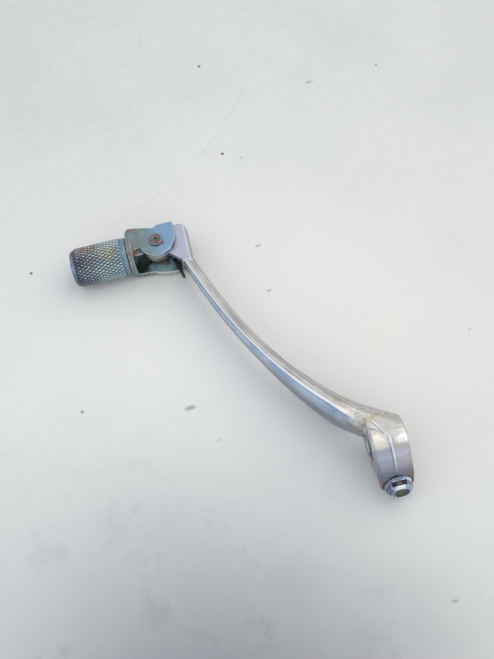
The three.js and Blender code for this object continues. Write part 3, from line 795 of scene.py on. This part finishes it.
def peg_knurl(s, colour, outer):
    """Painted shade in the valleys between the diamonds, and painted highlights on their worn
    tops.
    """
    ridge = s.value("ridge")
    # painted shade in the knurl's valleys
    valley_shade = s.mix(outer, (0.045, 0.08, 0.11), (0.04, 0.04, 0.065))
    colour = s.tint(colour, s.below(ridge, 0.12, 0.65), valley_shade, 0.9)
    # painted highlights on the worn tops of the diamonds
    tip_highlights = s.times(s.above(ridge, 0.85, 1.0), s.above(s.noise(0.6), 0.4, 0.6))
    return s.tint(colour, tip_highlights, (0.90, 0.88, 0.84), 0.7)


def peg_ends(s, colour):
    """The rim of the outer end, navy with painted blue reflections and brown rust, and the blue
    shoulder by the bracket.
    """
    x, y, _ = s.parts(s.place)
    # painted reflections on tarnish: navy and blue clouds on the rim
    rim_colour = s.mix(s.above(s.noise(0.25), 0.38, 0.64), (0.07, 0.08, 0.15), (0.24, 0.36, 0.58))
    rusty = s.times(s.below(y, 112, 116), s.above(s.noise(0.8), 0.4, 0.55))
    rim_colour = s.mix(rusty, rim_colour, (0.25, 0.13, 0.07))
    colour = s.tint(colour, s.below(x, -123.6, -122.2), rim_colour, 0.65)
    return s.tint(colour, s.above(x, -101.2, -100.4), (0.16, 0.27, 0.36), 0.6)


# ---------------------------------------------------------------- the small pieces' materials


def rivet_steel():
    """Dull steel, purple and brown, with painted shade nearly black inside the dimple, and paler
    edges.
    """
    s = Shader("rivet_steel")
    hollow = s.value("hollow")
    cloud = s.noise(0.8, detail=5)
    colour = s.mix(s.above(cloud, 0.38, 0.62), (0.22, 0.19, 0.225), (0.16, 0.12, 0.105))
    # painted shade: the dimple is nearly black
    colour = s.mix(s.above(hollow, 0.01, 0.06), colour, (0.03, 0.02, 0.02))
    colour = s.tint(colour, s.below(hollow, -0.08, -0.03), (0.62, 0.58, 0.6), 0.5)
    s.set(Base_Color=colour, Metallic=0.95, Roughness=s.range(cloud, 0.3, 0.7, 0.3, 0.5))
    s.set(Normal=s.bump(s.noise(1.5, detail=5), 0.35, reach=0.08))
    return s.material


def bush_steel():
    """Drawn tube with fine rings and a film of old grease."""
    s = Shader("bush_steel")
    rings = s.noise(1.0, s.stretch(s.place, (0.1, 0.1, 6)), detail=4)
    grease = s.above(s.noise(0.4), 0.4, 0.6)
    colour = s.mix(grease, (0.36, 0.36, 0.35), (0.2, 0.17, 0.13))
    s.set(Base_Color=colour, Metallic=0.9, Roughness=s.range(rings, 0.3, 0.7, 0.3, 0.5))
    s.set(Normal=s.bump(rings, 0.3, reach=0.05))
    return s.material


def spring_wire():
    """Dark oiled wire with olive dirt near its free end."""
    s = Shader("spring_wire")
    y = s.parts(s.place)[1]
    dirt = s.times(s.below(y, 104, 112), s.above(s.noise(0.8), 0.3, 0.55))
    colour = s.mix(s.above(s.noise(0.9), 0.4, 0.6), (0.09, 0.09, 0.085), (0.05, 0.045, 0.04))
    colour = s.tint(colour, dirt, (0.16, 0.14, 0.07), 0.6)
    s.set(Base_Color=colour, Metallic=0.85, Roughness=s.range(s.noise(1.4), 0.3, 0.7, 0.32, 0.55))
    s.set(Normal=s.bump(s.noise(2.0, detail=4), 0.3, reach=0.05))
    return s.material


# ---------------------------------------------------------------- the floor's material


def floor_paint():
    """Pale worn paint: faint clouds, one cream stain, hair scratches and a few specks."""
    s = Shader("floor_paint")
    mottle = s.noise(0.18, detail=6, rough=0.65)
    colour = floor_tones(s, mottle)
    colour = s.tint(colour, floor_scratches(s), (0.30, 0.29, 0.27), 0.35)
    specks = s.times(s.below(s.cells(0.045), 0.022, 0.045), s.above(s.noise(0.05), 0.5, 0.56))
    grains = s.times(s.below(s.cells(0.16), 0.03, 0.06), s.above(s.noise(0.03), 0.52, 0.6))
    colour = s.mix(s.largest(specks, s.times(grains, 0.5)), colour, (0.16, 0.13, 0.10))
    for centre, radius in FLOOR_MARKS:
        mark = s.patch((*centre, PATCH_Z), radius, soft=0.6, stretch=(0.6, 1.3, 1))
        colour = s.tint(colour, mark, (0.22, 0.19, 0.14), 0.6)
    s.set(Base_Color=colour, Roughness=s.range(mottle, 0.3, 0.7, 0.45, 0.6))
    s.set(Normal=s.bump(s.noise(0.5, detail=5), 0.5, reach=0.25))
    return s.material


def floor_tones(s, mottle):
    """A painted pool of light round the lever, a painted shadow with smudges behind the hub,
    darkest in its core, and a cream stain inboard.
    """
    cloud = s.noise(0.012, detail=3)
    colour = s.mix(s.above(cloud, 0.35, 0.65), (0.65, 0.65, 0.64), (0.61, 0.61, 0.605))
    # painted pool of light: the floor round the lever is paler, and darker towards the edges
    lit_pool = s.patch((-70, 50, PATCH_Z), 230, soft=1, ragged=0.05)
    colour = s.mix(lit_pool, colour, (0.79, 0.785, 0.76))
    colour = s.tint(colour, s.above(mottle, 0.35, 0.7), (0.78, 0.775, 0.75), 0.2)
    # painted shadow: a broad dark patch behind the hub, with a darker core
    painted_shadow_patch = s.patch((-110, -95, PATCH_Z), 165, soft=1, ragged=0.08, stretch=(1.05, 0.95, 1))
    colour = s.tint(colour, painted_shadow_patch, (0.24, 0.25, 0.28), 0.8)
    shadow_core = s.patch((-80, -95, PATCH_Z), 85, soft=1, ragged=0.05, stretch=(0.6, 1, 1))
    colour = s.tint(colour, shadow_core, (0.11, 0.11, 0.12), 0.36)
    cream = s.patch((10, 60, PATCH_Z), 46, soft=0.9, ragged=0.25, stretch=(0.9, 1.1, 1))
    colour = s.tint(colour, cream, (0.80, 0.76, 0.66), 0.22)
    smudges = s.times(s.above(s.noise(0.03, detail=6, rough=0.7), 0.5, 0.68), painted_shadow_patch)
    return s.tint(colour, smudges, (0.22, 0.22, 0.24), 0.5)


def floor_scratches(s):
    """1 on long broken arcs."""
    x, y, _ = s.parts(s.place)
    lines = [
        s.line(s.length(s.minus(x, centre_x), s.minus(y, centre_y)), radius, width)
        for (centre_x, centre_y), radius, width in FLOOR_SCRATCHES
    ]
    return s.times(s.largest(*lines), s.above(s.noise(0.02), 0.48, 0.58))


# ---------------------------------------------------------------- pieces


def along_arm(obj):
    """Keeps each vertex's way along the arm, to its side, and down from its top."""
    steps = np.linspace(0, 1, ARM_STEPS)
    there, back = steps[:, None], 1 - steps[:, None]
    weights = [back**3, 3 * back**2 * there, 3 * back * there**2, there**3]
    line = sum(weight * corner for weight, corner in zip(weights, ARM_PATH))
    heading = np.gradient(line, axis=0)
    heading /= np.linalg.norm(heading, axis=1)[:, None]
    length = np.concatenate([[0], np.cumsum(np.linalg.norm(np.diff(line, axis=0), axis=1))])
    stations = np.linspace(0, 1, len(ARM_HALF_WIDTHS))
    half_width, height, top = (
        np.interp(steps, stations, sizes) for sizes in (ARM_HALF_WIDTHS, ARM_HEIGHTS, ARM_TOPS)
    )
    place = points_of(obj)
    plan = place[:, :2]
    nearest = nearest_of(line, plan)
    offset = plan - line[nearest]
    ahead = heading[nearest]
    across = offset[:, 0] * ahead[:, 1] - offset[:, 1] * ahead[:, 0]
    add_values(obj, "along", length[nearest])
    add_values(obj, "side", across / half_width[nearest])
    add_values(obj, "drop", (top[nearest] - place[:, 2]) / height[nearest])


def nearest_of(line, points, batch=20000):
    """For each point, which of the line's points is nearest, worked out in batches."""
    nearest = np.empty(len(points), int)
    for start in range(0, len(points), batch):
        away = points[start : start + batch, None] - line[None]
        nearest[start : start + batch] = (away**2).sum(2).argmin(1)
    return nearest


def smooth_seam(obj):
    """Evens out the hub's seam, which the remesh leaves lumpy."""
    x, y, z = points_of(obj).T
    seam = x - SEAM["wall_x"] + SEAM["slope"] * np.maximum(y - SEAM["bend_y"], 0)
    near = (np.abs(seam) < 1.8) & (y < 11) & (z > -3)  # on top, behind the arm's root
    group = obj.vertex_groups.new(name="seam")
    group.add(np.flatnonzero(near).tolist(), 1, "REPLACE")
    smooth = obj.modifiers.new("smooth", "SMOOTH")
    smooth.vertex_group = group.name
    smooth.iterations = 14
    apply_modifiers(obj)


def lever_forging():
    obj = softened_copy("lever_arm", "lever_forging", voxel=0.33, rounds=6)
    smooth_seam(obj)
    add_hollows(obj)
    along_arm(obj)
    finish_piece(obj, "lever", forged_aluminium(), "lever_arm")


def clamp_bolt():
    obj = softened_copy("clamp_bolt", "flange_bolt", voxel=0.12, rounds=8)
    add_hollows(obj)
    finish_piece(obj, "lever", plated_bolt(), "clamp_bolt")


def bracket():
    obj = softened_copy("tip_bracket", "stamped_bracket", voxel=0.22, rounds=5)
    add_hollows(obj)
    finish_piece(obj, "toe_piece", zinc_bracket(), "tip_bracket")


def rivet():
    obj = softened_copy("pivot_pin", "rivet", voxel=0.12, rounds=5)
    add_hollows(obj)
    finish_piece(obj, "toe_piece", rivet_steel(), "pivot_pin")


def bush():
    """The bush stays the CAD's own, and gets a material."""
    node = NODES["pivot_bush"]
    node.data.materials.clear()
    node.data.materials.append(bush_steel())


def quarter_turn(count):
    """`count` equal steps of a quarter turn, without its start."""
    return [(i + 1) / count * math.pi / 2 for i in range(count)]


def knurl_height(turn, way_along, share):
    """How high the knurl stands round one ring, from 0 in a groove to 1 on a diamond."""
    spacing = 2 * np.pi * PEG["radius"] / PEG["starts"]
    slide = way_along * math.tan(PEG["helix"]) / spacing
    ridges = []
    for way in (-1, 1):
        phase = turn * PEG["starts"] / (2 * np.pi) + way * slide
        groove = 2 * np.abs(phase % 1 - 0.5)  # 1 in a groove, 0 between two
        ridges.append(np.clip((1 - groove) * PEG["sharpness"], 0, 1))
    run_out = min(1, share * PEG["run_out"], (1 - share) * PEG["run_out"])
    return np.minimum(*ridges) * run_out


def peg():
    """The knurled peg between its plain shoulder and its rounded outer rim."""
    low, high = (np.array(corner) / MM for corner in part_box("toe_peg"))
    _, centre_y, centre_z = (low + high) / 2
    outer_x = low[0]
    inner_x = outer_x + PEG["length"]
    turn = np.linspace(0, 2 * np.pi, PEG["steps_round"], endpoint=False)
    rings, ridges = [], []

    def ring(x, radii, ridge=PEG["plain_ridge"]):
        radii = np.broadcast_to(radii, turn.shape)
        y = centre_y + radii * np.cos(turn)
        z = centre_z + radii * np.sin(turn)
        rings.append(np.stack([np.full_like(turn, x), y, z], 1))
        ridges.append(np.broadcast_to(ridge, turn.shape))

    plain = PEG["radius"] - PEG["shoulder_step"]
    edge = PEG["inner_edge"]
    ring(inner_x, PEG["inner_ring"])
    ring(inner_x, plain - edge)
    for angle in quarter_turn(3):
        ring(inner_x - edge * (1 - math.cos(angle)), plain - edge * (1 - math.sin(angle)))
    start = inner_x - PEG["shoulder"]
    end = outer_x + PEG["rim"]
    ring(start + PEG["shoulder_slope"], plain)
    for share in np.linspace(0, 1, PEG["steps_along"] + 1):
        x = start + (end - start) * share
        height = knurl_height(turn, x - start, share)
        ring(x, PEG["radius"] - PEG["depth"] * (1 - height), height)
    foot = PEG["radius"] - PEG["depth"]
    for angle in quarter_turn(8):
        ring(end - PEG["rim"] * math.sin(angle), foot - PEG["rim"] * (1 - math.cos(angle)))
    ring(outer_x, PEG["end_ring"] * foot)

    obj = skin("knurled_peg", rings)
    add_values(obj, "ridge", np.concatenate(ridges))
    finish_piece(obj, "toe_piece", tarnished_peg(), "toe_peg")


def spring_line(along):
    """The point `along` millimetres past the coil's start on the wire's centre line."""
    on_coil = min(max(along, 0), SPRING_SWEEP * SPRING["coil"])
    share = on_coil / (SPRING_SWEEP * SPRING["coil"])
    angle = SPRING["lever_angle"] + share * SPRING_SWEEP
    straight = along - on_coil
    x = PIVOT.x + SPRING["coil"] * math.cos(angle) - straight * math.sin(angle)
    y = PIVOT.y + SPRING["coil"] * math.sin(angle) + straight * math.cos(angle)
    return Vector((x, y, SPRING["bottom"] + (SPRING["top"] - SPRING["bottom"]) * share))


def spring_stations():
    """(way along the wire, share of its radius) for each ring, with domed ends."""
    first = -SPRING["lever_leg"]
    last = SPRING_SWEEP * SPRING["coil"] + SPRING["web_leg"]
    dome = []
    for i in range(SPRING["dome_rings"]):
        angle = i / SPRING["dome_rings"] * math.pi / 2
        way = SPRING["wire"] * (1 - math.cos(angle)) / 2
        dome.append((way, max(math.sin(angle), SPRING["tip_share"])))
    stations = [(first + way, share) for way, share in dome]
    length = last - first - 2 * SPRING["tip"]
    for i in range(SPRING["steps"] + 1):
        stations.append((first + SPRING["tip"] + length * i / SPRING["steps"], 1.0))
    return stations + [(last - way, share) for way, share in reversed(dome)]


def spring():
    """The torsion spring, coiled round the pivot between the two bodies."""
    rings = []
    nudge = 0.05
    for along, share in spring_stations():
        middle = spring_line(along)
        heading = (spring_line(along + nudge) - spring_line(along - nudge)).normalized()
        across = heading.cross(Vector((0, 0, 1))).normalized()
        over = across.cross(heading)
        ring = []
        for i in range(SPRING["sides"]):
            angle = 2 * math.pi * i / SPRING["sides"]
            spoke = math.cos(angle) * across + math.sin(angle) * over
            ring.append(middle + SPRING["wire"] * share * spoke)
        rings.append(ring)
    obj = skin("torsion_spring", rings)
    obj.data.materials.append(spring_wire())
    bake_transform(obj)
    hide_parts("return_spring")


# ---------------------------------------------------------------- camera, floor and light


def camera():
    """Looks down on the lever at the photograph's angle."""
    elevation, azimuth = CAMERA["elevation"], CAMERA["azimuth"]
    level = math.cos(elevation)
    forward = Vector(
        (-math.sin(azimuth) * level, math.cos(azimuth) * level, -math.sin(elevation))
    )
    sideways = Vector((math.cos(azimuth), math.sin(azimuth), 0))
    right = (Matrix.Rotation(-CAMERA["roll"], 3, forward) @ sideways).normalized()
    data = bpy.data.cameras.new("camera")
    data.sensor_width = CAMERA["sensor"]
    data.lens = CAMERA["lens"]
    obj = bpy.data.objects.new("camera", data)
    bpy.context.scene.collection.objects.link(obj)
    turn = Matrix((right, right.cross(forward), -forward)).transposed().to_4x4()
    obj.matrix_world = Matrix.Translation(Vector(CAMERA["place"]) * MM) @ turn
    bpy.context.scene.camera = obj


def floor():
    half = FLOOR_HALF_SIZE
    plan = [(-half, -half), (half, -half), (half, half), (-half, half)]
    obj = mesh_object("floor", [(x, y, FLOOR_Z) for x, y in plan], [(0, 1, 2, 3)])
    obj.data.materials.append(floor_paint())


def lights():
    """A soft key from the inboard side, cards for the metal to mirror, and a pale blue sky."""
    for name, place, size, power, colour in LIGHTS:
        data = bpy.data.lights.new(name, "AREA")
        data.shape = "RECTANGLE"
        data.size, data.size_y = (MM * side for side in size)
        data.energy = power
        data.color = colour
        obj = bpy.data.objects.new(name, data)
        bpy.context.scene.collection.objects.link(obj)
        obj.location = Vector(place) * MM
        beam = Vector(LIGHT_TARGET) - Vector(place)
        obj.rotation_euler = beam.to_track_quat("-Z", "Y").to_euler()
    world = bpy.data.worlds.new("world")
    world.use_nodes = True
    background = world.node_tree.nodes["Background"]
    background.inputs["Color"].default_value = (*SKY_COLOUR, 1)
    background.inputs["Strength"].default_value = SKY_STRENGTH
    bpy.context.scene.world = world
    bpy.context.scene.view_settings.view_transform = "Standard"


camera()
floor()
lights()
lever_forging()
clamp_bolt()
bracket()
peg()
rivet()
bush()
spring()
